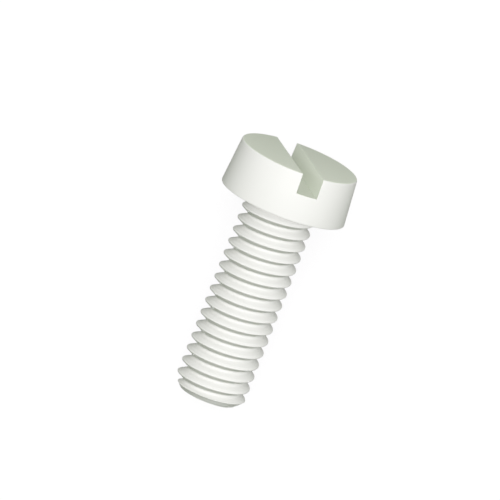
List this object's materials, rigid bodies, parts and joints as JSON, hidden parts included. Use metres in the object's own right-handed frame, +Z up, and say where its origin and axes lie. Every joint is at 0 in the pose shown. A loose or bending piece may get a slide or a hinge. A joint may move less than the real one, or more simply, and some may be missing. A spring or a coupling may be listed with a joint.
{
  "type": "slotted cheese head screw",
  "caption": "Fully threaded machine screw with a tall slightly tapered round head and a straight driver slot, lying on its side.",
  "frame": {"origin": "on the floor, under the middle of the screw's length as it lies", "axes": "+Z up, +X along the screw towards its head; the screw's own axis climbs 7.8 degrees towards the head, because it rests on the rim of the head and on a thread crest near the tip"},
  "size_m": [0.0145, 0.007, 0.007],
  "materials": {
    "nylon": "moulded natural white nylon, satin"
  },
  "bodies": {
    "root": {"screw": "nylon"}
  },
  "joints": []
}
